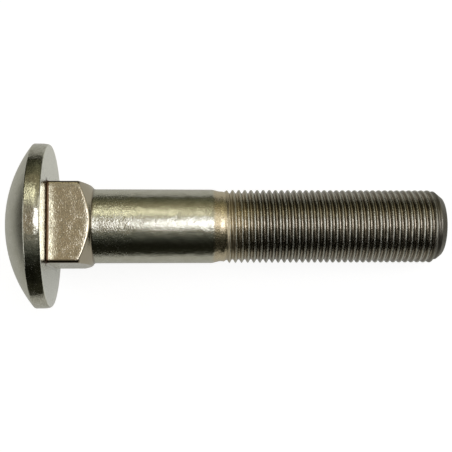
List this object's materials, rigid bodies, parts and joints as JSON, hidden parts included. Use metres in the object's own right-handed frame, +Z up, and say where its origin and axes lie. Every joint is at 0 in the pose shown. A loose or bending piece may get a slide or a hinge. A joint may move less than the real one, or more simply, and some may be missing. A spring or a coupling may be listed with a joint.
{
  "type": "wheel bolt",
  "caption": "Round-head wheel bolt with a low domed head, a square neck, a plain shank and a fine right-hand thread, lying on its rim and thread.",
  "frame": {"origin": "on the surface that the bolt lies on, under the middle of its bounding box", "axes": "+X along the bolt's length, from the head to the threaded end; +Z up, away from the surface that it lies on; the bolt's own axis leans 6.65 degrees down from +X"},
  "size_m": [0.106, 0.0396, 0.0397],
  "materials": {
    "plated_steel": "olive zinc plating, satin, brighter on worn edges and thread crests"
  },
  "bodies": {
    "root": {"wheel_bolt": "plated_steel"}
  },
  "joints": []
}
